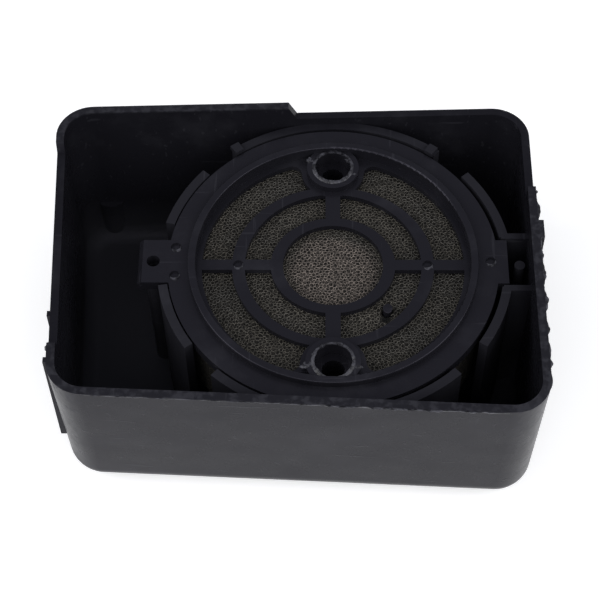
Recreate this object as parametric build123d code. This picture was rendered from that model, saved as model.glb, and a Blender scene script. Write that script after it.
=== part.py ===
"""Air-cleaner housing for the carburettor of a small portable generator engine.

Four separate pieces, each its own node:
  housing_shell  box with the filter seat (arc walls), tongue pocket and screw post
  base_plate     round carburettor plate with sealing bead, grille and bolt bosses
  foam_element   open-cell foam disc behind the grille
  foam_retainer  ring and spokes that back the foam, with a pin through it

Millimetres, +Z up. The box lies on its closed face with its open side up. X runs along the box,
with the tongue pocket at +X, and Y runs across it, along the line of the two bolt holes.
Everything is drawn about the axis of the round plate, then moved so that the origin is at the
centre of the underside of the whole assembly.
"""
import os
from math import asin, copysign, cos, degrees, radians, sin, tan

from build123d import *

# ---- driving dimensions ----------------------------------------------------------------------
housing_length = 119.3    # along X at the back wall, over the outside of the rim
housing_height = 50.0     # closed face to the high part of the rim
wall = 2.0                # side walls of the box
floor_thickness = 2.0     # closed face of the box
flange_radius = 40.0      # round base plate
flange_thickness = 3.0
flange_depth = 6.0        # high rim down to the flange's face

# box outline: each wall's turn from square, and its draft from the rim down
back_toe = 1.6            # degrees, back wall opens towards +X
front_toe = 2.6           # degrees, front wall opens towards +X
left_lean = 2.9           # degrees, left wall runs in towards the front
side_draft = 0.5          # degrees, left and right walls
front_draft = 4.0         # degrees, front and back walls
corner_radius = 9.0       # upright corners, outside
bottom_radius = 8.0       # edge round the closed face, outside
inner_corner_radius = 7.0
inner_bottom_radius = 4.5

# room between the flange and the inside of the walls, on the plate's own axes at rim height
front_room = 1.2
back_room = 2.9
pocket_room = 7.5         # right wall, where the tongue pocket is

# rim steps
back_rim_drop = 3.8
back_step_x = -11.2       # top of the slope in the back wall, from the plate's axis
back_step_run = 2.1
right_step_y = 18.2       # end of the low rim in the right wall
left_rim_drop = 3.0
left_notch_front = -26.5
left_notch_back = 31.4
left_notch_run = 0.8

# arc walls of the filter seat
arc_thickness = 2.2
arc_gap = 0.75            # flange to arc wall
arc_shift = 0.4           # the seat's centre lies this much right of the plate's
back_arc = (52.0, 127.0)          # start and end angle of each arc wall, from +X
left_back_arc = (140.0, 164.5)
left_front_arc_end = 215.0        # starts beside the tab
front_arc = (228.0, 313.0)
right_front_arc_start = -34.0     # ends at the pocket rib
right_back_arc_end = 39.0         # starts at the other pocket rib
nub_reach = 0.35          # stays this far outside the flange
nub_height = 1.2
nub_length = 2.4
rest_thickness = 2.0      # radial rests under the foam retainer
rest_overlap = 3.2        # how far the retainer's rim sits on them

# screw tab and its post; a run is measured outwards from the flange's edge
tab_run = 7.1             # to the tab's outer end
tab_width = 12.4
tab_hole_run = 3.5
tab_hole_radius = 1.6
tab_bevel = 1.0
tab_side_gap = 0.45
post_radius = 2.4
post_pilot_radius = 1.2
post_pilot_depth = 14.0

# tongue and its pocket
tongue_run = 2.2
tongue_width = 12.6
pocket_side_gap = 0.45
pocket_rib_thickness = 1.6
pocket_rib_run = 0.9      # to the near end of the pocket's ribs
stop_peg_radius = 1.3
stop_peg_run = 5.2
stop_peg_drop = 1.5       # peg's top below the flange's face

# bumps on the outside of the box
lug_reach = 1.2
lug_width = 5.0
lug_height = 7.0
lug_y = 5.6
side_rib_reach = 0.7
side_rib_width = 1.4
side_rib_ys = (-17.0, -31.5)
side_rib_foot = 16.0      # height at which they begin

# half-round boss at the foot of the back wall, inside
foot_boss_radius = 4.0
foot_boss_x = -59.5
foot_boss_height = 15.5
foot_boss_reach = 1.3     # out from the wall at mid height

# base plate
bead_inset = 4.9          # flange's edge to the bead
bead_width = 1.95
bead_height = 2.0
bead_edge_radius = 0.4
grille_drop = 1.5         # flange face down to the grille
grille_thickness = 1.5
aperture_inset = 1.35     # bead's inside to the grille's opening
aperture_corner_radius = 2.4
outer_ring_shares = ((0.770, 0.736), (0.673, 0.664))   # half axes outside and inside, as parts
inner_ring_shares = ((0.475, 0.437), (0.382, 0.365))   # of the opening's radius
upright_spoke_width = 3.65
cross_spoke_width = 3.0
bolt_spacing = 56.6
boss_radius = 6.5
boss_surround_radius = 7.8
boss_bridge_width = 14.4   # joins the surround to the edge of the opening
boss_lip = 0.4            # boss above the flange's face
boss_depth = 9.0          # boss below the flange's face
bolt_hole_radius = 2.75
counterbore_radius = 4.5
counterbore_depth = 4.4
mark_radius = 1.3         # ejector marks
mark_depth = 0.6
flange_mark_inset = 1.9    # flange's edge to a mark's middle
tab_mark_y = 4.1           # the two marks beside the tab

# foam and its retainer
foam_thickness = 19.2
foam_edge_gap = 2.45      # foam to arc wall
boss_foam_gap = 0.5
seat_gap = 0.3            # between pieces that lift apart
retainer_thickness = 1.8
retainer_edge_gap = 3.3   # retainer to arc wall
retainer_rim_width = 6.0
hub_outer_radius = 12.0
hub_inner_radius = 8.0
retainer_spoke_width = 4.0
pin_radius = 1.15
pin_foam_gap = 0.3
pin_share = 0.553          # pin's distance from the plate's axis, as part of the opening's radius
pin_angle = -42.0
pin_tip_drop = 0.9         # pin tip below the grille's face
pin_slope = 28.0           # degrees, the tip is cut on a slant

# ---- heights, all from the closed face --------------------------------------------------------
flange_top = housing_height - flange_depth
flange_bottom = flange_top - flange_thickness
bead_top = flange_top + bead_height
grille_top = flange_top - grille_drop
grille_bottom = grille_top - grille_thickness
foam_top = min(grille_bottom, flange_bottom) - seat_gap
foam_bottom = foam_top - foam_thickness
retainer_top = foam_bottom - seat_gap
retainer_bottom = retainer_top - retainer_thickness
rest_top = retainer_bottom - seat_gap
boss_top = flange_top + boss_lip
boss_bottom = flange_top - boss_depth

# ---- radii and places -------------------------------------------------------------------------
overshoot = 1.0           # cutting shapes run this far past the material
bead_outer_radius = flange_radius - bead_inset
bead_inner_radius = bead_outer_radius - bead_width
aperture_radius = bead_inner_radius - aperture_inset
outer_ring, inner_ring = [
    [(x * aperture_radius, y * aperture_radius) for x, y in shares]
    for shares in (outer_ring_shares, inner_ring_shares)
]
grille_mark_x = (outer_ring[0][0] + outer_ring[1][0]) / 2
flange_mark_x = flange_radius - flange_mark_inset
tab_reach = flange_radius + tab_run
tab_hole_x = flange_radius + tab_hole_run
tongue_reach = flange_radius + tongue_run
pocket_rib_start = flange_radius + pocket_rib_run
stop_peg_x = flange_radius + stop_peg_run
arc_inner = flange_radius + arc_gap
arc_outer = arc_inner + arc_thickness
foam_radius = arc_inner - foam_edge_gap
retainer_radius = arc_inner - retainer_edge_gap
seat_center = Vector(arc_shift, 0, 0)
tab_clear_angle = degrees(asin((tab_width / 2 + tab_side_gap) / arc_inner))
rib_inside = tongue_width / 2 + pocket_side_gap
rib_middle_angle = degrees(asin((rib_inside + pocket_rib_thickness / 2) / arc_outer))
arc_spans = [
    back_arc,
    left_back_arc,
    (180.0 + tab_clear_angle, left_front_arc_end),
    front_arc,
    (right_front_arc_start, -rib_middle_angle),
    (rib_middle_angle, right_back_arc_end),
]
bolt_ys = (-bolt_spacing / 2, bolt_spacing / 2)
pin_reach = pin_share * aperture_radius
pin_center = Vector(pin_reach * cos(radians(pin_angle)), pin_reach * sin(radians(pin_angle)))
right_x = flange_radius + pocket_room + wall
back_y = flange_radius + back_room + wall
front_y = flange_radius + front_room + wall
left_x = housing_length - right_x - tan(radians(left_lean)) * back_y

# each wall: direction of its outward normal, distance of its outside from the plate's axis, draft
walls = {
    "right": (0.0, right_x, side_draft),
    "back": (90.0 + back_toe, back_y * cos(radians(back_toe)), front_draft),
    "left": (180.0 + left_lean, left_x * cos(radians(left_lean)), side_draft),
    "front": (270.0 - front_toe, front_y * cos(radians(front_toe)), front_draft),
}


def wall_corner(first, second, z, inset):
    """Where two walls meet at height z, with both pushed in by inset."""
    lines = []
    for name in (first, second):
        angle, distance, draft = walls[name]
        reach = distance - inset - (housing_height - z) * tan(radians(draft))
        lines.append((cos(radians(angle)), sin(radians(angle)), reach))
    (a, b, c), (d, e, f) = lines
    det = a * e - b * d
    return ((c * e - b * f) / det, (a * f - c * d) / det)


def wall_ring(z, inset):
    """Square-cornered outline of the box at height z."""
    names = ["right", "back", "left", "front"]
    corners = [wall_corner(names[i], names[(i + 1) % 4], z, inset) for i in range(4)]
    return Pos(0, 0, z) * make_face(Polyline(*corners, close=True))


def tapered_block(bottom, top, inset, upright_radius, edge_radius):
    """Block between two heights that follows the walls, with rounded uprights and underside."""
    body = loft([wall_ring(bottom, inset), wall_ring(top, inset)], ruled=True)
    uprights = [e for e in body.edges() if abs(e.tangent_at(0.5).Z) > 0.5]
    body = fillet(uprights, upright_radius)
    under = body.edges().group_by(Axis.Z)[0]
    return fillet(under, edge_radius)


def ring_sector(inner, outer, start, end, bottom, top, center=Vector(0, 0, 0)):
    """Part of a round wall between two angles in degrees."""
    outside = CenterArc(center, outer, start, end - start)
    inside = CenterArc(center, inner, start, end - start)
    sides = [Line(outside @ 0, inside @ 0), Line(outside @ 1, inside @ 1)]
    return Pos(0, 0, bottom) * extrude(make_face([outside, inside] + sides), top - bottom)


def upright(radius, bottom, top, x=0.0, y=0.0):
    """Round post between two heights."""
    return Pos(x, y, (bottom + top) / 2) * Cylinder(radius, top - bottom)


def block(x0, x1, y0, y1, z0, z1):
    """Square block between six limits."""
    middle = Pos((x0 + x1) / 2, (y0 + y1) / 2, (z0 + z1) / 2)
    return middle * Box(x1 - x0, y1 - y0, z1 - z0)


# ---- housing shell ----------------------------------------------------------------------------
def rim_cuts():
    """Material taken off the rim: round the back right corner, and along the left wall."""
    above = housing_height + overshoot
    far = housing_length
    low = housing_height - back_rim_drop
    slope = back_step_run / back_rim_drop
    profile = Polyline(
        (back_step_x - slope, above),
        (back_step_x + back_step_run, low),
        (far, low),
        (far, above),
        close=True,
    )
    back = extrude(Plane.XZ * make_face(profile), -far)
    back = back - block(-far, far, -far, right_step_y, 0, above)
    low = housing_height - left_rim_drop
    profile = Polyline(
        (left_notch_front - left_notch_run, above),
        (left_notch_front + left_notch_run, low),
        (left_notch_back - left_notch_run, low),
        (left_notch_back + left_notch_run, above),
        close=True,
    )
    left = extrude(Plane.YZ * make_face(profile), -far)
    return [back, left]


def make_housing_shell():
    """The box, with the filter seat and the pocket and post that locate the base plate."""
    outside = tapered_block(0, housing_height, 0, corner_radius, bottom_radius)
    cavity = tapered_block(
        floor_thickness, housing_height + overshoot, wall, inner_corner_radius, inner_bottom_radius
    )
    seat = []
    root = floor_thickness / 2
    for start, end in arc_spans:
        seat.append(ring_sector(arc_inner, arc_outer, start, end, root, flange_top, seat_center))
        middle = (start + end) / 2
        rest = block(
            retainer_radius - rest_overlap, arc_inner + arc_thickness / 2,
            -rest_thickness / 2, rest_thickness / 2, root, rest_top,
        )
        seat.append(Pos(seat_center) * Rot(0, 0, middle) * rest)
    nub_turn = degrees(nub_length / arc_outer)
    top_start, top_end = back_arc
    for start in (top_start, top_end - nub_turn):
        seat.append(
            ring_sector(
                flange_radius + nub_reach, arc_outer, start, start + nub_turn,
                flange_top, flange_top + nub_height,
            )
        )
    tab_bottom = flange_bottom - seat_gap
    post = upright(post_radius, root, tab_bottom, -tab_hole_x)
    for side in (-1, 1):
        y0, y1 = sorted((side * rib_inside, side * (rib_inside + pocket_rib_thickness)))
        seat.append(block(pocket_rib_start, right_x - wall / 2, y0, y1, root, flange_top))
    seat.append(upright(stop_peg_radius, root, flange_top - stop_peg_drop, stop_peg_x))
    seat.append(foot_boss(root))
    # the seat is trimmed to the outside of the box, so nothing pokes through its walls
    inner_parts = Part() + seat + post
    shell = (outside - cavity) + (inner_parts & outside)
    pilot_bottom = tab_bottom - post_pilot_depth
    shell -= upright(post_pilot_radius, pilot_bottom, tab_bottom + overshoot, -tab_hole_x)
    shell -= rim_cuts()
    return shell + outside_bumps()


def foot_boss(root):
    """Half-round boss that stands against the inside of the back wall."""
    depth = housing_height - foot_boss_height / 2
    face = back_y + foot_boss_x * tan(radians(back_toe)) - depth * tan(radians(front_draft)) - wall
    middle_y = face - foot_boss_reach + foot_boss_radius
    return upright(foot_boss_radius, root, foot_boss_height, foot_boss_x, middle_y)


def outside_bumps():
    """Small lug on the right wall and two thin upright ribs on the left wall."""
    z1 = housing_height
    lug = block(
        right_x - wall / 2, right_x + lug_reach, lug_y - lug_width / 2, lug_y + lug_width / 2,
        z1 - lug_height, z1,
    )
    bumps = [lug]
    for y in side_rib_ys:
        face = -left_x - tan(radians(left_lean)) * y
        top = z1 if y < left_notch_front else z1 - left_rim_drop
        bumps.append(
            block(
                face - side_rib_reach, face + wall / 2, y - side_rib_width / 2,
                y + side_rib_width / 2, side_rib_foot, top,
            )
        )
    return bumps


# ---- base plate -------------------------------------------------------------------------------
def grille_ring(half_axes):
    """Flat oval ring, from its half axes outside and inside."""
    (outer_x, outer_y), (inner_x, inner_y) = half_axes
    return Ellipse(outer_x, outer_y) - Ellipse(inner_x, inner_y)


def make_base_plate():
    """Round plate: flange, bead, grille, bolt bosses, screw tab and tongue."""
    tab = block(-tab_reach, 0, -tab_width / 2, tab_width / 2, flange_bottom, flange_top)
    tab_end = tab.edges().filter_by(Axis.Y).group_by(Axis.Z)[-1].sort_by(Axis.X)[0]
    tab = chamfer(tab_end, tab_bevel)
    tongue = block(0, tongue_reach, -tongue_width / 2, tongue_width / 2, flange_bottom, flange_top)
    plate = upright(flange_radius, flange_bottom, flange_top) + tab + tongue
    bead = upright(bead_outer_radius, flange_bottom, bead_top)
    bead -= upright(bead_inner_radius, flange_bottom - overshoot, bead_top + overshoot)
    bead_edges = bead.edges().filter_by(GeomType.CIRCLE).group_by(Axis.Z)[-1]
    bead = fillet(bead_edges, bead_edge_radius)
    plate -= upright(bead_inner_radius, grille_top, bead_top + overshoot)
    aperture = Circle(aperture_radius)
    bridge = aperture_radius - bolt_spacing / 2 + overshoot
    for y in bolt_ys:
        aperture -= Pos(0, y) * Circle(boss_surround_radius)
        middle = y + copysign(bridge / 2, y)
        aperture -= Pos(0, middle) * Rectangle(boss_bridge_width, bridge)
    aperture = fillet(aperture.vertices(), aperture_corner_radius)
    plate -= Pos(0, 0, grille_bottom - overshoot) * extrude(aperture, housing_height)
    bars = grille_ring(outer_ring) + grille_ring(inner_ring)
    bars += Rectangle(2 * aperture_radius + overshoot, cross_spoke_width)
    bars += Rectangle(upright_spoke_width, bolt_spacing - boss_surround_radius)
    bars -= Ellipse(*inner_ring[1])
    grille = Pos(0, 0, grille_bottom) * extrude(bars, grille_thickness)
    plate += grille
    plate += bead
    for y in bolt_ys:
        plate += upright(boss_radius, boss_bottom, boss_top, 0, y)
    for y in bolt_ys:
        plate -= upright(bolt_hole_radius, boss_bottom - overshoot, bead_top, 0, y)
        plate -= upright(counterbore_radius, boss_top - counterbore_depth, bead_top + overshoot, 0, y)
    plate -= upright(
        tab_hole_radius, flange_bottom - overshoot, flange_top + overshoot, -tab_hole_x
    )
    marks = [(-flange_mark_x, tab_mark_y), (-flange_mark_x, -tab_mark_y), (flange_mark_x, 0)]
    for x, y in marks:
        plate -= upright(mark_radius, flange_top - mark_depth, bead_top, x, y)
    for x in (-grille_mark_x, grille_mark_x):
        plate -= upright(mark_radius, grille_top - mark_depth, flange_top, x)
    return plate


# ---- foam and its retainer --------------------------------------------------------------------
def make_foam_element():
    """Foam disc, with clearance round the two bolt bosses and the retainer's pin."""
    foam = upright(foam_radius, foam_bottom, foam_top)
    low = foam_bottom - overshoot
    high = foam_top + overshoot
    for y in bolt_ys:
        foam -= upright(boss_radius + boss_foam_gap, low, high, 0, y)
    return foam - upright(pin_radius + pin_foam_gap, low, high, pin_center.X, pin_center.Y)


def make_foam_retainer():
    """Rim, hub ring and four spokes behind the foam, with the pin that locates it."""
    flat = Circle(retainer_radius) - Circle(retainer_radius - retainer_rim_width)
    flat += Circle(hub_outer_radius)
    spoke = Rectangle(2 * retainer_radius - retainer_rim_width, retainer_spoke_width)
    for turn in (45, 135):
        flat += Rot(0, 0, turn) * spoke
    flat -= Circle(hub_inner_radius)
    retainer = Pos(0, 0, retainer_bottom) * extrude(flat, retainer_thickness)
    pin_top = grille_top - pin_tip_drop
    pin = upright(pin_radius, retainer_bottom, pin_top, pin_center.X, pin_center.Y)
    slant = Pos(pin_center.X, pin_center.Y, pin_top) * Rot(pin_slope, 0, 0)
    cutter_side = 8 * pin_radius
    cutter = slant * Pos(0, 0, cutter_side / 2) * Box(cutter_side, cutter_side, cutter_side)
    return retainer + (pin - cutter)


def main():
    """Build the four pieces, set the origin, and write one STEP file for each."""
    pieces = {
        "housing_shell": make_housing_shell(),
        "base_plate": make_base_plate(),
        "foam_element": make_foam_element(),
        "foam_retainer": make_foam_retainer(),
    }
    box = pieces["housing_shell"].bounding_box()   # the other pieces all lie inside it
    origin = Pos(-box.center().X, -box.center().Y, -box.min.Z)
    os.makedirs("parts", exist_ok=True)
    for name, piece in pieces.items():
        export_step(origin * piece, f"parts/{name}.step")
        print(name, "solids", len(piece.solids()), "volume", round(piece.volume, 1))
    print("plate axis at", round(-box.center().X, 3), round(-box.center().Y, 3))
    print("size", [round(v, 2) for v in (box.size.X, box.size.Y, box.size.Z)])


main()
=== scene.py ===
"""Air-cleaner housing of a small portable generator engine, dressed around its CAD frame."""

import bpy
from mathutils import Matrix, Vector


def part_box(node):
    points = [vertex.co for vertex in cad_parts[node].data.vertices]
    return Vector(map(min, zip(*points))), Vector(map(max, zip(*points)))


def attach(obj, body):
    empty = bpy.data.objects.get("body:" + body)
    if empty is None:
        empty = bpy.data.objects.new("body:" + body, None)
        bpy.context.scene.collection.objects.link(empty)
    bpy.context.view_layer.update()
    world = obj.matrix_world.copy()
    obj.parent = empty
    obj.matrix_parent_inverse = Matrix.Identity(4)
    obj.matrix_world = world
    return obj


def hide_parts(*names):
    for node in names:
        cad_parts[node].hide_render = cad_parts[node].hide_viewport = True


bl_info = {
    "name": "Air filter housing",
    "version": (1, 0, 0),
    "blender": (4, 5, 0),
    "location": "View3D > Sidebar > Air Filter",
    "description": "Moulded air-cleaner box with its carburettor plate, foam disc and foam retainer",
    "category": "Object",
}
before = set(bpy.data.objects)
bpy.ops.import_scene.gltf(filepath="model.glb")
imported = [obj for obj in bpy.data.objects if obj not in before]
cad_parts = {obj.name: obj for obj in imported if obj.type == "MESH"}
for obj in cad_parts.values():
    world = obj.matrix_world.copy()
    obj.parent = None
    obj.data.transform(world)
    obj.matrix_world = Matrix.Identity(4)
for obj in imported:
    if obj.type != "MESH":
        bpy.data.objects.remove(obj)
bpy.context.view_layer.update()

from math import cos, hypot, pi, radians, sin

import bmesh
import bpy
import numpy as np
from bpy.props import FloatProperty, FloatVectorProperty, IntProperty, PointerProperty
from mathutils import Matrix, Vector, noise

# ---- places taken from the frame ---------------------------------------------------------------
PLATE_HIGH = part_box("base_plate")[1]
FOAM_LOW, FOAM_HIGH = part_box("foam_element")
SHELL_LOW, SHELL_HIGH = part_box("housing_shell")
AXIS = (FOAM_LOW + FOAM_HIGH) / 2          # the round plate's axis passes through the foam's middle
MM = 0.001
BOLT_REACH = 28.3 * MM                     # from the plate's axis to a bolt hole
PIN = (AXIS.x + 13.07 * MM, AXIS.y - 11.77 * MM)
PIN_HOLLOW = (PIN[0] - 0.5 * MM, PIN[1] - 2.1 * MM)     # the foam is torn beside the pin
FOAM_HOLES = (
    (*PIN_HOLLOW, 1.4 * MM),
    (AXIS.x, AXIS.y + BOLT_REACH, 7.0 * MM),
    (AXIS.x, AXIS.y - BOLT_REACH, 7.0 * MM),
    (*PIN, 1.5 * MM),
)
SCUFFED_CORNER = (AXIS.x - 64.9 * MM, AXIS.y - 39.4 * MM, SHELL_HIGH.z - 5.0 * MM)


# ---- sizes and colours a user would change -----------------------------------------------------
def length(name, description, default, **more):
    """A size in metres."""
    return FloatProperty(
        name=name, description=description, default=default, subtype="DISTANCE", unit="LENGTH",
        precision=5, **more
    )


def colour(name, description, default):
    """A linear colour."""
    return FloatVectorProperty(
        name=name, description=description, default=default, subtype="COLOR", size=3, min=0, max=1
    )


class MouldingSettings(bpy.types.PropertyGroup):
    """The black injection-moulded parts."""
    edge_radius: length("Edge radius", "Rounding on the moulded edges", 0.00028)
    black: colour("Black", "Clean moulded surface", (0.0098, 0.0096, 0.0126))
    # This colour is also the paler colour of the painted light on the floor inside the box and round the
    # filter seat.
    bloom_and_light: colour("Bloom", "Dusty, rubbed surface", (0.030, 0.030, 0.036))
    roughness: FloatProperty(
        name="Roughness", description="Of the clean moulded surface", default=0.27, min=0, max=1
    )


class FoamSettings(bpy.types.PropertyGroup):
    """The open-cell foam disc."""
    cell: length("Cell size", "Middle distance between foam cells", 0.00080)
    strut: length("Strut thickness", "Thickness of the foam's strands", 0.00018)
    pile: length("Pile", "Depth of the open surface over the solid middle", 0.0011)
    layers: IntProperty(name="Layers", description="Sheets of cells modelled", default=2, min=1, max=4)
    seed: IntProperty(name="Seed", description="Choice of cell places", default=4)
    strand: colour("Strand", "Colour of the strands", (0.118, 0.108, 0.092))
    # Painted light: this paler colour stands in for the light falling through the grille's middle opening.
    middle: colour("Middle", "Strands in the middle, where dust has settled", (0.215, 0.183, 0.162))
    # Painted shade: this dark colour stands in for the shade down in the foam's pores.
    depth: colour("Depth", "Colour down in the pores", (0.010, 0.009, 0.008))


class StageSettings(bpy.types.PropertyGroup):
    """Camera, floor and studio light."""
    lens: FloatProperty(name="Lens", description="Focal length", default=101.0, unit="CAMERA")
    distance: length("Distance", "From the camera to the plate", 0.4007)
    elevation: FloatProperty(
        name="Elevation", description="Angle of view above the floor", default=radians(56.93),
        subtype="ANGLE", unit="ROTATION"
    )
    turn: FloatProperty(
        name="Turn", description="Camera's angle to the right of square-on", default=radians(1.41),
        subtype="ANGLE", unit="ROTATION"
    )
    roll: FloatProperty(
        name="Roll", description="Camera's own roll", default=radians(-1.07), subtype="ANGLE",
        unit="ROTATION"
    )
    floor: colour("Floor", "Pale floor", (0.90, 0.90, 0.90))
    glow: FloatProperty(
        name="Glow", description="The floor's own light, as on a light table", default=0.46, min=0
    )


class AirFilterSettings(bpy.types.PropertyGroup):
    """Everything above, as kept on the scene."""
    moulding: PointerProperty(type=MouldingSettings)
    foam: PointerProperty(type=FoamSettings)
    stage: PointerProperty(type=StageSettings)


def settings():
    """The scene's settings for this object."""
    return bpy.context.scene.air_filter


# ---- shader maths ------------------------------------------------------------------------------
class Wire:
    """One value in a material, so that shader maths reads as Python."""

    def __init__(self, finish, socket):
        self.finish = finish
        self.socket = socket

    def maths(self, operation, first, second=None, clamp=False):
        values = {0: first} if second is None else {0: first, 1: second}
        made = self.finish.node("ShaderNodeMath", {"operation": operation, "use_clamp": clamp}, values)
        return made["Value"]

    def __add__(self, other):
        return self.maths("ADD", self, other)

    def __sub__(self, other):
        return self.maths("SUBTRACT", self, other)

    def __rsub__(self, other):
        return self.maths("SUBTRACT", other, self)

    def __mul__(self, other):
        return self.maths("MULTIPLY", self, other)

    def __truediv__(self, other):
        return self.maths("DIVIDE", self, other)

    def __pow__(self, other):
        return self.maths("POWER", self, other)

    __radd__ = __add__
    __rmul__ = __mul__

    def clamped(self):
        return self.maths("ADD", self, 0.0, clamp=True)

    def above(self, low, high):
        """0 below low, 1 above high, smooth between; low may be the larger."""
        made = self.finish.node(
            "ShaderNodeMapRange",
            {"interpolation_type": "SMOOTHSTEP", "clamp": True},
            {"Value": self, "From Min": low, "From Max": high, "To Min": 0.0, "To Max": 1.0},
        )
        return made["Result"]


class Outlets:
    """The outputs of a node, by name or by number."""

    def __init__(self, finish, made):
        self.finish = finish
        self.made = made

    def __getitem__(self, key):
        return Wire(self.finish, self.made.outputs[key])


class Finish:
    """A material being made."""

    def __init__(self, name):
        self.material = bpy.data.materials.new(name)
        self.material.use_nodes = True
        self.tree = self.material.node_tree
        self.tree.nodes.clear()

    def node(self, kind, options=None, values=None):
        """Add a node: its options first, then the values or links of its sockets."""
        made = self.tree.nodes.new(kind)
        for key, value in (options or {}).items():
            setattr(made, key, value)
        for key, value in (values or {}).items():
            if isinstance(value, Wire):
                self.tree.links.new(value.socket, made.inputs[key])
            else:
                made.inputs[key].default_value = value
        return Outlets(self, made)

    def place(self, scale=(1, 1, 1), turn=(0, 0, 0)):
        """Object coordinates, scaled and turned."""
        spot = self.node("ShaderNodeTexCoord")["Object"]
        if scale == (1, 1, 1) and turn == (0, 0, 0):
            return spot
        values = {"Vector": spot, "Scale": scale, "Rotation": turn}
        return self.node("ShaderNodeMapping", None, values)["Vector"]

    def noise(self, scale, detail=3.0, rough=0.5, where=None, distortion=0.0):
        """Noise value from 0 to 1, on Object coordinates unless a place is given."""
        values = {
            "Vector": where or self.place(), "Scale": scale, "Detail": detail, "Roughness": rough,
            "Distortion": distortion,
        }
        return self.node("ShaderNodeTexNoise", None, values)["Fac"]

    def apart(self, spot):
        """Distance from a place, in metres."""
        values = {0: self.place(), 1: spot}
        return self.node("ShaderNodeVectorMath", {"operation": "DISTANCE"}, values)["Value"]

    def near(self, spot, inside, outside):
        """1 within the nearer distance of a place, 0 beyond the further one."""
        return self.apart(spot).above(outside, inside)

    def mix(self, factor, first, second):
        """Mix of two colours."""
        made = self.node("ShaderNodeMix", {"data_type": "RGBA"}, {0: factor, 6: first, 7: second})
        return made[2]

    def bump(self, height, distance, strength=1.0, under=None):
        """Surface relief of a real height in metres."""
        values = {"Height": height, "Distance": distance, "Strength": strength}
        if under is not None:
            values["Normal"] = under
        return self.node("ShaderNodeBump", None, values)["Normal"]

    def plastic(self, **values):
        """Close the material with a surface shader."""
        named = {key.replace("_", " "): value for key, value in values.items()}
        surface = self.node("ShaderNodeBsdfPrincipled", None, named)["BSDF"]
        self.node("ShaderNodeOutputMaterial", None, {"Surface": surface})
        return self.material


def opaque(rgb):
    """Colour with full alpha."""
    return (*rgb, 1.0)


def moulded_black(name, seed_shift, worn=False):
    """Black moulded plastic: faint flow marks, fine scratches, dusty bloom and a wavy gloss.

    A worn finish also has a paler trimmed rim, scuffs at the front left corner and draw marks, and painted
    light on the floor inside the box and round the filter seat."""
    look = settings().moulding
    finish = Finish(name)
    spot = finish.node(
        "ShaderNodeMapping", None,
        {"Vector": finish.place(), "Location": (seed_shift, seed_shift * 0.7, 0.0)},
    )["Vector"]
    dust = finish.noise(55.0, 5.0, 0.62, spot).above(0.50, 0.78)
    specks = finish.noise(900.0, 2.0, 0.5, spot).above(0.66, 0.76)
    stretched = finish.node(
        "ShaderNodeMapping", None,
        {"Vector": spot, "Scale": (900.0, 55.0, 500.0), "Rotation": (0.1, 0.2, 0.6)},
    )["Vector"]
    scratches = finish.noise(1.0, 2.0, 0.4, stretched).above(0.68, 0.74)
    crossed = finish.node(
        "ShaderNodeMapping", None,
        {"Vector": spot, "Scale": (60.0, 1100.0, 700.0), "Rotation": (0.0, 0.3, -0.5)},
    )["Vector"]
    scratches = (scratches + finish.noise(1.0, 2.0, 0.4, crossed).above(0.69, 0.75)).clamped()
    rubbed_and_lit = dust * 0.45 + scratches * 0.4 + specks * dust * 0.5
    gloss = 0.3
    if worn:
        gloss = 0.10
        parts = finish.node("ShaderNodeSeparateXYZ", None, {"Vector": finish.place()})
        height = parts["Z"]
        inside = parts["Y"].above(AXIS.y - 41.0 * MM, AXIS.y - 34.0 * MM)
        # The floor inside the box is made paler by settled dust and by painted light where the inside lies in
        # shade; the ground round the filter seat is made paler by painted light.
        settled_and_lit = height.above(18.0 * MM, 1.0 * MM) * 1.1 + 0.02
        painted_seat_light = finish.near((AXIS.x, AXIS.y, 30.0 * MM), 46.0 * MM, 49.0 * MM) * 0.35
        painted_seat_light = painted_seat_light * parts["Y"].above(AXIS.y + 41.0 * MM, AXIS.y + 37.0 * MM)
        rubbed_and_lit = rubbed_and_lit + inside * (settled_and_lit + painted_seat_light)
        trimmed = height.above(SHELL_HIGH.z - 0.0006, SHELL_HIGH.z - 0.0002)
        rubbed_and_lit = rubbed_and_lit + trimmed * (finish.noise(420.0, 4.0, 0.65).above(0.45, 0.62) * 0.7 + 0.25)
        corner = finish.near(SCUFFED_CORNER, 3.0 * MM, 9.0 * MM)
        streaky = finish.place((220.0, 900.0, 240.0), (0.4, 0.5, 0.8))
        rubbed_and_lit = rubbed_and_lit + corner * finish.noise(1.0, 3.0, 0.6, streaky).above(0.55, 0.63) * 1.6
    rubbed_and_lit = rubbed_and_lit.clamped()
    base = finish.mix(rubbed_and_lit, opaque(look.black), opaque(look.bloom_and_light))
    grain = finish.noise(2600.0, 2.0, 0.5, spot)
    wave = finish.noise(42.0, 2.0, 0.4, spot)
    rough = look.roughness + (finish.noise(160.0, 4.0, 0.6, spot) - 0.5) * 0.16 + rubbed_and_lit * 0.18
    relief = finish.bump(wave, 0.00035)
    relief = finish.bump(grain, 0.000005, 1.0, relief)
    relief = finish.bump(scratches, 0.00002, 0.8, relief)
    return finish.plastic(
        Base_Color=base, Roughness=rough.clamped(), Normal=relief, IOR=1.43, Specular_IOR_Level=gloss,
        Specular_Tint=(0.84, 0.81, 1.0, 1.0)
    )


def trimmed_black(name):
    """Torn and knife-trimmed black plastic, paler where it is stretched."""
    look = settings().moulding
    finish = Finish(name)
    torn = finish.noise(700.0, 4.0, 0.65)
    pale = torn.above(0.40, 0.62)
    base = finish.mix(pale, opaque(look.black), opaque([v * 2.2 for v in look.bloom_and_light]))
    rough_edge = 0.36 + (torn - 0.5) * 0.5
    relief = finish.bump(torn, 0.00018)
    return finish.plastic(Base_Color=base, Roughness=rough_edge.clamped(), Normal=relief, IOR=1.43)


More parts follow.
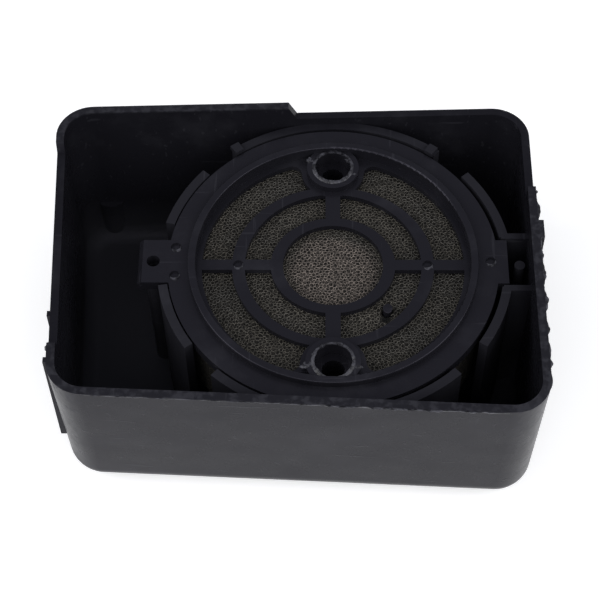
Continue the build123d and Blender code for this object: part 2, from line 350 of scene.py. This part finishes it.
def painted_middle_light(finish):
    """1 in the grille's middle opening, 0 outside it, with a soft uneven edge: where the foam is painted
    paler, as painted light falling through the opening.
    """
    ragged = (finish.noise(160.0, 3.0, 0.6) - 0.5) * (5.0 * MM)
    return (finish.apart((AXIS.x, AXIS.y - 1.0 * MM, FOAM_HIGH.z)) + ragged).above(13.0 * MM, 8.5 * MM)


def foam_strands():
    """Brown-grey foam strands, with painted shade darker down in the pores, painted light paler in the
    middle, and random painted light and shade on single strands.
    """
    look = settings().foam
    finish = Finish("foam strands")
    height = finish.node("ShaderNodeSeparateXYZ", None, {"Vector": finish.place()})["Z"]
    # Painted shade: lower strands take the dark pore colour, darker towards the solid foam.
    top = height.above(FOAM_HIGH.z - 0.0022, FOAM_HIGH.z - 0.0001)
    patches = finish.noise(70.0, 4.0, 0.6).above(0.35, 0.7)
    cooler = [v * k for v, k in zip(look.strand, (0.86, 0.90, 0.98))]
    tint = finish.mix(patches, opaque(look.strand), opaque(cooler))
    # Painted light: paler strands in the middle opening.
    tint = finish.mix(painted_middle_light(finish), tint, opaque(look.middle))
    lit = finish.noise(1500.0, 2.0, 0.6).above(0.34, 0.66)
    shade = finish.mix(lit, opaque((0.42, 0.42, 0.42)), opaque((1.45, 1.45, 1.42)))
    tint = finish.node(
        "ShaderNodeMix", {"data_type": "RGBA", "blend_type": "MULTIPLY"}, {0: 1.0, 6: tint, 7: shade}
    )[2]
    base = finish.mix(top, opaque(look.depth), tint)
    relief = finish.bump(finish.noise(4200.0, 2.0, 0.5), 0.00004)
    return finish.plastic(Base_Color=base, Roughness=0.46, Normal=relief, Specular_IOR_Level=0.45)


def foam_body():
    """The foam below its modelled strands: fine pores in the surface, painted in shade at half the strands'
    colour, with painted shade in the pores, painted light in the middle and a painted black shadow in the
    hollow beside the pin.
    """
    look = settings().foam
    finish = Finish("foam body")
    cells = finish.node(
        "ShaderNodeTexVoronoi", {"feature": "DISTANCE_TO_EDGE"},
        {"Vector": finish.place(), "Scale": 1.0 / look.cell, "Randomness": 0.9},
    )["Distance"]
    strand = cells.above(0.16, 0.04)
    shaded = [opaque([v * 0.5 for v in tone]) for tone in (look.strand, look.middle)]
    # Painted light: paler foam body in the middle opening.
    tint = finish.mix(painted_middle_light(finish), *shaded)
    # Painted shade in the pores between the strands.
    tint = finish.mix(strand, opaque(look.depth), tint)
    # Painted shadow: a black patch in the torn hollow beside the pin.
    painted_hole_shade = finish.near((*PIN_HOLLOW, FOAM_HIGH.z), 1.2 * MM, 1.7 * MM)
    base = finish.mix(painted_hole_shade, tint, opaque((0.002, 0.002, 0.002)))
    relief = finish.bump(strand, 0.0005)
    return finish.plastic(Base_Color=base, Roughness=0.7, Normal=relief, Specular_IOR_Level=0.3)


# ---- mesh helpers ------------------------------------------------------------------------------
def new_object(name, mesh, material, body):
    """Put a finished mesh in the scene, riding on a body."""
    made = bpy.data.objects.new(name, mesh)
    bpy.context.scene.collection.objects.link(made)
    mesh.materials.clear()
    mesh.materials.append(material)
    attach(made, body)
    return made


def softened_copy(node, name, edge):
    """Copy of a CAD node's mesh with its seams merged and its sharp edges rounded."""
    form = bmesh.new()
    form.from_mesh(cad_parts[node].data)
    bmesh.ops.remove_doubles(form, verts=form.verts, dist=2e-6)
    bmesh.ops.dissolve_limit(
        form, angle_limit=radians(0.6), use_dissolve_boundaries=False, verts=form.verts, edges=form.edges
    )
    sharp = [e for e in form.edges if len(e.link_faces) == 2 and e.calc_face_angle() > radians(38)]
    bmesh.ops.bevel(
        form, geom=sharp, offset=edge, offset_type="OFFSET", segments=2, profile=0.55,
        affect="EDGES", clamp_overlap=True, miter_outer="ARC", harden_normals=False,
    )
    mesh = bpy.data.meshes.new(name + "_form")
    form.to_mesh(mesh)
    form.free()
    for face in mesh.polygons:
        face.use_smooth = True
    mesh.set_sharp_from_angle(angle=radians(50))
    return weighted(mesh, name)


def weighted(mesh, name):
    """The mesh with its shading led by its large faces, so that flats stay flat."""
    holder = bpy.data.objects.new(name + "_holder", mesh)
    bpy.context.scene.collection.objects.link(holder)
    weigh = holder.modifiers.new("weigh", "WEIGHTED_NORMAL")
    weigh.keep_sharp = True
    weigh.weight = 80
    made = plain_mesh(holder, name)
    bpy.data.objects.remove(holder)
    return made


def plain_mesh(holder, name):
    """What an object's modifiers make, as a plain mesh."""
    graph = bpy.context.evaluated_depsgraph_get()
    made = bpy.data.meshes.new_from_object(holder.evaluated_get(graph), depsgraph=graph)
    made.name = name
    holder.modifiers.clear()
    return made


# ---- moulding flash ----------------------------------------------------------------------------
RIM_CORNER = 9.0 * MM
RIM_CORNER_Y = AXIS.y - 34.6 * MM          # middle of the front right corner's rounding
BOX_MARGIN = 0.02 * MM                     # flash stays this far inside the box's own outline
RIGHT_FACE = SHELL_HIGH.x - 1.2 * MM       # the small lug stands out from here

# x and y from the plate's axis, size across and along, and depth below the top, in millimetres
RIM_NIBS = (
    (-68.7, 34.0, 0.45, 0.9, 1.1), (-65.9, -27.6, 1.1, 1.0, 1.1), (48.7, 34.3, 0.7, 0.9, 4.6),
    (49.3, 17.4, 0.9, 0.9, 1.1),
)
BOSS_LUMPS = (
    (-5.6, 30.6, (1.5, 1.3, 0.55)), (3.9, 30.6, (0.9, 1.2, 0.6)), (5.3, 26.2, (1.2, 0.8, 0.45)),
    (-6.3, -29.3, (1.9, 1.3, 0.6)), (5.8, -29.8, (1.6, 0.9, 0.5)), (-4.6, -26.5, (1.0, 0.8, 0.5)),
)
MARKS = ((-38.1, 4.1, 2.0), (-38.1, -4.1, 2.0), (38.1, 0.0, 2.0), (-22.95, 0.0, 3.5), (22.95, 0.0, 3.5))


def rim_paths():
    """Edges that carry flash: points, outward turn, reach, drop and seed for each."""
    def front(x):
        """The front rim's y at an x."""
        return AXIS.y - (43.2 + 0.046 * (x - AXIS.x) / MM) * MM

    right = [(RIGHT_FACE - 0.2 * MM, AXIS.y + y * MM) for y in np.arange(17.6, -34.0, -0.45)]
    corner = [
        (RIGHT_FACE - RIM_CORNER + RIM_CORNER * cos(a), RIM_CORNER_Y + RIM_CORNER * sin(a))
        for a in np.radians(np.arange(0, -86, -3.5))
    ]
    long_front = [(x, front(x)) for x in AXIS.x + np.arange(39.5, -57.0, -0.5) * MM]
    left = [(AXIS.x - (67.3 + 0.051 * y) * MM, AXIS.y + y * MM) for y in np.arange(-33.0, -26.5, 0.4)]
    return (
        (right, 0.0, 1.15 * MM, 0.50 * MM, 1.0),
        (corner, None, 0.85 * MM, 0.50 * MM, 2.0),
        (long_front[:84], -92.6, 0.80 * MM, 0.55 * MM, 3.0),
        (long_front[84:], -92.6, 0.22 * MM, 0.30 * MM, 4.0),
        (left, 182.9, 0.6 * MM, 0.6 * MM, 5.0),
    )


def rough(where, scale, seed):
    """Uneven value from 0 to 1 along an edge."""
    return 0.5 + 0.5 * noise.fractal(Vector((where * scale, seed * 3.7, seed)), 0.8, 2.1, 4)


def fin(form, path, turned, reach, drop, seed):
    """Ragged strip of flash under a rim's outer corner, closed all round."""
    rings = []
    run = 0.0
    for index, (x, y) in enumerate(path):
        if index:
            run += hypot(x - path[index - 1][0], y - path[index - 1][1])
        if turned is None:
            out = Vector((x - RIGHT_FACE + RIM_CORNER, y - RIM_CORNER_Y)).normalized()
        else:
            out = Vector((cos(radians(turned)), sin(radians(turned))))
        ends = min(1.0, run / (1.5 * MM), (len(path) - 1 - index) * 0.4)
        far = reach * ends * max(0.06, rough(run, 260.0, seed) * 1.3 - 0.25) + 0.02 * MM
        far = min(far, reach)
        low = drop * (0.35 + 0.65 * rough(run, 420.0, seed + 5))
        top = SHELL_HIGH.z - (0.12 + 0.35 * rough(run, 700.0, seed + 9)) * MM
        spot = Vector((x, y))
        corners = [
            (-0.5 * MM, 0.0), (far * 0.8, 0.0), (far, -0.3 * low), (far * 0.55, -low),
            (-0.5 * MM, -1.1 * low),
        ]
        ring = []
        for across, down in corners:
            at = spot + out * across
            at.x = min(at.x, SHELL_HIGH.x - BOX_MARGIN)
            at.y = max(at.y, SHELL_LOW.y + BOX_MARGIN)
            ring.append(form.verts.new((at.x, at.y, top + down)))
        rings.append(ring)
    skin(form, rings, capped=True)


def skin(form, rings, capped):
    """Faces between rings of points, and over the two ends."""
    count = len(rings[0])
    for near, far in zip(rings, rings[1:]):
        for i in range(count):
            j = (i + 1) % count
            form.faces.new((near[i], near[j], far[j], far[i]))
    if capped:
        form.faces.new(list(reversed(rings[0])))
        form.faces.new(rings[-1])


def lump(form, place, sizes, seed):
    """Small torn lump of plastic, its sizes in millimetres."""
    made = bmesh.ops.create_icosphere(form, subdivisions=2, radius=1.0)["verts"]
    for vert in made:
        rag = 0.72 + 0.55 * noise.noise(vert.co * 1.9 + Vector((seed, seed * 0.3, 0)))
        vert.co = Vector([c * s * rag * MM for c, s in zip(vert.co, sizes)]) + Vector(place)


def crown(form, place, inner, outer, seed):
    """Ragged lip round a bolt hole, thicker on its far side."""
    rings = []
    count = 110
    for i in range(count):
        a = 2 * pi * i / count
        way = Vector((cos(a), sin(a), 0))
        rag = 0.5 + 0.5 * noise.fractal(way * 2.6 + Vector((0, 0, seed)), 0.9, 2.2, 4)
        heavy = 0.45 + 0.55 * max(0.0, sin(a))
        high = (0.10 + 1.15 * rag * heavy) * MM
        hang = (rag - 0.35) * 0.9 * heavy * MM
        section = [
            (inner - hang, high * 0.55), (inner - hang * 0.4, high), ((inner + outer) / 2, high * 0.8),
            (outer, -0.08 * MM), (inner + 0.1 * MM, -0.4 * MM),
        ]
        rings.append([form.verts.new(Vector(place) + way * r + Vector((0, 0, z))) for r, z in section])
    rings.append(rings[0])
    skin(form, rings, capped=False)


def burr(form, place, radius, thick, start, end):
    """Crescent of raised plastic beside an ejector mark."""
    rings = []
    steps = 18
    for i in range(steps + 1):
        share = i / steps
        a = radians(start + (end - start) * share)
        fat = thick * (0.15 + 0.85 * sin(pi * share))
        way = Vector((cos(a), sin(a), 0))
        rings.append([
            form.verts.new(Vector(place) + way * (radius + fat * cos(b)) + Vector((0, 0, fat * sin(b))))
            for b in (0.0, 1.05, 2.09, pi, 4.19, 5.24)
        ])
    skin(form, rings, capped=True)


def closed_mesh(form, name):
    """Finish a form with its faces outwards."""
    bmesh.ops.recalc_face_normals(form, faces=form.faces)
    mesh = bpy.data.meshes.new(name)
    form.to_mesh(mesh)
    form.free()
    for face in mesh.polygons:
        face.use_smooth = True
    mesh.set_sharp_from_angle(angle=radians(45))
    return mesh


# ---- the foam's strands ------------------------------------------------------------------------
class Graph:
    """A geometry tree being made."""

    def __init__(self, name):
        self.tree = bpy.data.node_groups.new(name, "GeometryNodeTree")
        self.tree.interface.new_socket("Geometry", in_out="OUTPUT", socket_type="NodeSocketGeometry")
        self.inside = self.tree.nodes.new("NodeGroupInput")
        self.outside = self.tree.nodes.new("NodeGroupOutput")

    def size(self, name, kind="NodeSocketFloat", default=0.0):
        """A named input of the tree."""
        self.tree.interface.new_socket(name, in_out="INPUT", socket_type=kind).default_value = default
        return self.inside.outputs[name]

    def node(self, kind, options=None, values=None):
        made = self.tree.nodes.new(kind)
        for key, value in (options or {}).items():
            setattr(made, key, value)
        for key, value in (values or {}).items():
            if isinstance(value, bpy.types.NodeSocket):
                self.tree.links.new(value, made.inputs[key])
            else:
                made.inputs[key].default_value = value
        return made

    def maths(self, operation, first, second=0.0):
        return self.node("ShaderNodeMath", {"operation": operation}, {0: first, 1: second}).outputs[0]

    def vector(self, x=0.0, y=0.0, z=0.0):
        return self.node("ShaderNodeCombineXYZ", None, {0: x, 1: y, 2: z}).outputs[0]


def strand_tree(material):
    """Sheet of open foam cells round the plate's axis, with room for the bolt bosses and the pin."""
    graph = Graph("foam strands")
    reach = graph.size("Reach", default=0.038)
    cell = graph.size("Cell", default=0.001)
    strut = graph.size("Strut", default=0.0001)
    height = graph.size("Height", default=0.04)
    sag = graph.size("Sag", default=0.0005)
    seed = graph.size("Seed", "NodeSocketInt", 1)
    across = graph.maths("MULTIPLY", reach, 2.0)
    count = graph.maths("CEIL", graph.maths("DIVIDE", across, cell))
    grid = graph.node(
        "GeometryNodeMeshGrid", None,
        {"Size X": across, "Size Y": across, "Vertices X": count, "Vertices Y": count},
    ).outputs["Mesh"]
    stray = graph.maths("MULTIPLY", cell, 0.50)
    back = graph.maths("MULTIPLY", stray, -1.0)
    jitter = graph.node(
        "FunctionNodeRandomValue", {"data_type": "FLOAT_VECTOR"},
        {"Min": graph.vector(back, back), "Max": graph.vector(stray, stray), "Seed": seed},
    ).outputs["Value"]
    moved = graph.node("GeometryNodeSetPosition", None, {"Geometry": grid, "Offset": jitter}).outputs[0]
    cut = graph.node("GeometryNodeTriangulate", None, {"Mesh": moved}).outputs[0]
    dual = graph.node("GeometryNodeDualMesh", None, {"Mesh": cut}).outputs[0]
    spot = graph.node("GeometryNodeInputPosition").outputs[0]
    outer = graph.node("ShaderNodeVectorMath", {"operation": "LENGTH"}, {0: spot}).outputs["Value"]
    gone = graph.maths("GREATER_THAN", outer, reach)
    for x, y, radius in FOAM_HOLES:
        apart = graph.node(
            "ShaderNodeVectorMath", {"operation": "DISTANCE"}, {0: spot, 1: (x - AXIS.x, y - AXIS.y, 0.0)}
        ).outputs["Value"]
        gone = graph.maths("MAXIMUM", gone, graph.maths("LESS_THAN", apart, radius))
    kept = graph.node(
        "GeometryNodeDeleteGeometry", {"domain": "POINT"}, {"Geometry": dual, "Selection": gone}
    ).outputs[0]
    wander = graph.node(
        "ShaderNodeTexNoise", {"noise_dimensions": "4D"},
        {"Vector": spot, "W": seed, "Scale": 1500.0, "Detail": 1.0},
    ).outputs[0]
    drop = graph.maths("MULTIPLY", graph.maths("SUBTRACT", wander, 0.95), sag)
    drop = graph.maths("MINIMUM", graph.maths("MULTIPLY", drop, 2.0), 0.0)
    lift = graph.vector(AXIS.x, AXIS.y, graph.maths("ADD", height, drop))
    hung = graph.node("GeometryNodeSetPosition", None, {"Geometry": kept, "Offset": lift}).outputs[0]
    lines = graph.node("GeometryNodeMeshToCurve", None, {"Mesh": hung}).outputs[0]
    round_wire = graph.node(
        "GeometryNodeCurvePrimitiveCircle", None, {"Resolution": 3, "Radius": strut}
    ).outputs[0]
    tubes = graph.node(
        "GeometryNodeCurveToMesh", None, {"Curve": lines, "Profile Curve": round_wire, "Fill Caps": True}
    ).outputs[0]
    real = graph.node("GeometryNodeRealizeInstances", None, {"Geometry": tubes}).outputs[0]
    dressed = graph.node("GeometryNodeSetMaterial", None, {"Geometry": real, "Material": material}).outputs[0]
    graph.tree.links.new(dressed, graph.outside.inputs[0])
    return graph.tree


# ---- operators: one for each piece, and the stage ----------------------------------------------
class AIRFILTER_OT_shell(bpy.types.Operator):
    """Dress the moulded box"""
    bl_idname = "airfilter.shell"
    bl_label = "Housing shell"

    def execute(self, context):
        mesh = softened_copy("housing_shell", "housing_shell_moulded", settings().moulding.edge_radius)
        finish = moulded_black("shell plastic", 0.0, worn=True)
        made = new_object("housing_shell_moulded", mesh, finish, "housing")
        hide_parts("housing_shell")
        return {"FINISHED"}


class AIRFILTER_OT_base_plate(bpy.types.Operator):
    """Dress the round carburettor plate"""
    bl_idname = "airfilter.base_plate"
    bl_label = "Base plate"

    def execute(self, context):
        mesh = softened_copy("base_plate", "base_plate_moulded", settings().moulding.edge_radius)
        finish = moulded_black("plate plastic", 3.1)
        made = new_object("base_plate_moulded", mesh, finish, "plate")
        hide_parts("base_plate")
        return {"FINISHED"}


class AIRFILTER_OT_rim_flash(bpy.types.Operator):
    """Leave moulding flash along the box's trimmed rim"""
    bl_idname = "airfilter.rim_flash"
    bl_label = "Rim flash"

    def execute(self, context):
        form = bmesh.new()
        for path, turned, reach, drop, seed in rim_paths():
            fin(form, path, turned, reach, drop, seed)
        for x, y, across, along, down in RIM_NIBS:
            place = (AXIS.x + x * MM, AXIS.y + y * MM, SHELL_HIGH.z - down * MM)
            lump(form, place, (across, along, 0.8), 7 + int(x))
        mesh = closed_mesh(form, "rim_flash")
        new_object("rim_flash", mesh, trimmed_black("trimmed edge"), "housing")
        return {"FINISHED"}


class AIRFILTER_OT_plate_flash(bpy.types.Operator):
    """Leave ragged lips on the bolt bosses and burrs beside the ejector marks"""
    bl_idname = "airfilter.plate_flash"
    bl_label = "Plate flash"

    def execute(self, context):
        form = bmesh.new()
        boss_top = PLATE_HIGH.z - 1.6 * MM
        for side in (1, -1):
            crown(form, (AXIS.x, AXIS.y + side * BOLT_REACH, boss_top), 4.45 * MM, 5.3 * MM, 3 + side)
        for x, y, sizes in BOSS_LUMPS:
            lump(form, (AXIS.x + x * MM, AXIS.y + y * MM, boss_top - 0.25 * MM), sizes, 20 + int(x))
        for x, y, drop in MARKS:
            place = (AXIS.x + x * MM, AXIS.y + y * MM, PLATE_HIGH.z - drop * MM)
            burr(form, place, 1.12 * MM, 0.38 * MM, -160, 20)
        mesh = closed_mesh(form, "plate_flash")
        new_object("plate_flash", mesh, trimmed_black("burred plate edge"), "plate")
        return {"FINISHED"}


class AIRFILTER_OT_retainer(bpy.types.Operator):
    """Dress the retainer behind the foam"""
    bl_idname = "airfilter.retainer"
    bl_label = "Foam retainer"

    def execute(self, context):
        mesh = softened_copy("foam_retainer", "foam_retainer_moulded", settings().moulding.edge_radius * 0.6)
        finish = moulded_black("retainer plastic", 5.3)
        made = new_object("foam_retainer_moulded", mesh, finish, "retainer")
        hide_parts("foam_retainer")
        return {"FINISHED"}


class AIRFILTER_OT_stage(bpy.types.Operator):
    """Set the camera, the pale floor and the studio light"""
    bl_idname = "airfilter.stage"
    bl_label = "Stage"

    def execute(self, context):
        look = settings().stage
        away = Vector((
            sin(look.turn) * cos(look.elevation), -cos(look.turn) * cos(look.elevation), sin(look.elevation)
        ))
        level = Vector((cos(look.turn), sin(look.turn), 0.0))
        upward = away.cross(level)
        across = cos(look.roll) * level + sin(look.roll) * upward
        upward = away.cross(across)
        aim = Vector((AXIS.x - 0.00788, AXIS.y - 0.01117, SHELL_HIGH.z - 0.006))
        lens = bpy.data.cameras.new("camera")
        lens.lens = look.lens
        lens.sensor_width = 36.0
        lens.clip_start = 0.01
        lens.clip_end = 20.0
        camera = bpy.data.objects.new("camera", lens)
        turn = Matrix((across, upward, away)).transposed().to_4x4()
        camera.matrix_world = Matrix.Translation(aim + away * look.distance) @ turn
        context.scene.collection.objects.link(camera)
        context.scene.camera = camera
        context.scene.view_settings.view_transform = "Standard"
        self.lay_floor(look)
        self.hang_lights(aim)
        return {"FINISHED"}

    def lay_floor(self, look):
        """A wide pale floor just under the box."""
        finish = Finish("pale floor")
        spread = finish.noise(6.0, 2.0)
        tint = finish.mix(spread, opaque(look.floor), opaque([v * 0.985 for v in look.floor]))
        material = finish.plastic(
            Base_Color=tint, Roughness=0.6, Specular_IOR_Level=0.2,
            Emission_Color=opaque(look.floor), Emission_Strength=look.glow,
        )
        mesh = bpy.data.meshes.new("floor")
        reach = 6.0
        corners = [(-reach, -reach, 0), (reach, -reach, 0), (reach, reach, 0), (-reach, reach, 0)]
        mesh.from_pydata(corners, [], [(0, 1, 2, 3)])
        mesh.materials.append(material)
        floor = bpy.data.objects.new("floor", mesh)
        bpy.context.scene.collection.objects.link(floor)

    def hang_lights(self, aim):
        """Big soft boxes over the object, and an even pale surround."""
        world = bpy.data.worlds.new("studio")
        bpy.context.scene.world = world
        world.use_nodes = True
        background = world.node_tree.nodes["Background"]
        background.inputs["Color"].default_value = (0.90, 0.92, 1.0, 1.0)
        background.inputs["Strength"].default_value = 0.36
        boxes = [
            ("left", (-0.95, -0.25, 0.75), 0.9, 6.6),
            ("right", (0.95, -0.25, 0.75), 0.9, 5.8),
            ("front", (0.0, -0.95, 0.80), 1.0, 6.0),
        ]
        for name, place, size, power in boxes:
            lamp = bpy.data.lights.new(name, "AREA")
            lamp.shape = "SQUARE"
            lamp.size = size
            lamp.energy = power
            light = bpy.data.objects.new(name, lamp)
            spot = aim + Vector(place)
            turn = (spot - aim).to_track_quat("Z", "Y").to_matrix().to_4x4()
            light.matrix_world = Matrix.Translation(spot) @ turn
            bpy.context.scene.collection.objects.link(light)


class AIRFILTER_OT_foam(bpy.types.Operator):
    """Make the foam disc and its strands"""
    bl_idname = "airfilter.foam"
    bl_label = "Foam element"

    def execute(self, context):
        mesh = softened_copy("foam_element", "foam_body", 0.0003)
        look = settings().foam
        for corner in mesh.vertices:
            if corner.co.z > FOAM_HIGH.z - 0.0004:
                corner.co.z -= look.pile
        made = new_object("foam_body", mesh, foam_body(), "foam")
        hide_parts("foam_element")
        strands = foam_strands()
        for layer in range(look.layers):
            self.lay_strands(layer, look, strands)
        return {"FINISHED"}

    def lay_strands(self, layer, look, material):
        """One sheet of foam cells: a jittered mesh of points, its dual, and a tube on every edge."""
        base = bpy.data.meshes.new("foam_sheet_base")
        holder = bpy.data.objects.new("foam_sheet_base", base)
        bpy.context.scene.collection.objects.link(holder)
        tree = strand_tree(material)
        maker = holder.modifiers.new("strands", "NODES")
        maker.node_group = tree
        step = look.cell * (1.0 + 0.25 * layer)
        top = FOAM_HIGH.z - look.strut / 2 - layer * look.pile * 0.5
        given = {
            "Reach": (FOAM_HIGH.x - FOAM_LOW.x) / 2 - look.strut, "Cell": step, "Strut": look.strut * 0.5,
            "Height": top, "Sag": look.pile * 0.5, "Seed": look.seed + 11 * layer,
        }
        for item in tree.interface.items_tree:
            if item.in_out == "INPUT" and item.name in given:
                maker[item.identifier] = given[item.name]
        mesh = plain_mesh(holder, f"foam_strands_{layer + 1}")
        bpy.data.objects.remove(holder)
        new_object(mesh.name, mesh, material, "foam")


class AIRFILTER_PT_panel(bpy.types.Panel):
    """Sidebar panel that lists the pieces"""
    bl_idname = "AIRFILTER_PT_panel"
    bl_label = "Air filter housing"
    bl_space_type = "VIEW_3D"
    bl_region_type = "UI"
    bl_category = "Air Filter"

    def draw(self, context):
        for operator in OPERATORS:
            self.layout.operator(operator.bl_idname)


OPERATORS = (
    AIRFILTER_OT_shell,
    AIRFILTER_OT_base_plate,
    AIRFILTER_OT_foam,
    AIRFILTER_OT_retainer,
    AIRFILTER_OT_rim_flash,
    AIRFILTER_OT_plate_flash,
    AIRFILTER_OT_stage,
)
GROUPS = (MouldingSettings, FoamSettings, StageSettings, AirFilterSettings)
CLASSES = GROUPS + OPERATORS + (AIRFILTER_PT_panel,)


def register():
    for cls in CLASSES:
        bpy.utils.register_class(cls)
    bpy.types.Scene.air_filter = PointerProperty(type=AirFilterSettings)


def unregister():
    del bpy.types.Scene.air_filter
    for cls in reversed(CLASSES):
        bpy.utils.unregister_class(cls)


def main():
    """Make every piece in order."""
    register()
    for operator in OPERATORS:
        group, name = operator.bl_idname.split(".")
        getattr(getattr(bpy.ops, group), name)()


if __name__ == "__main__":
    main()
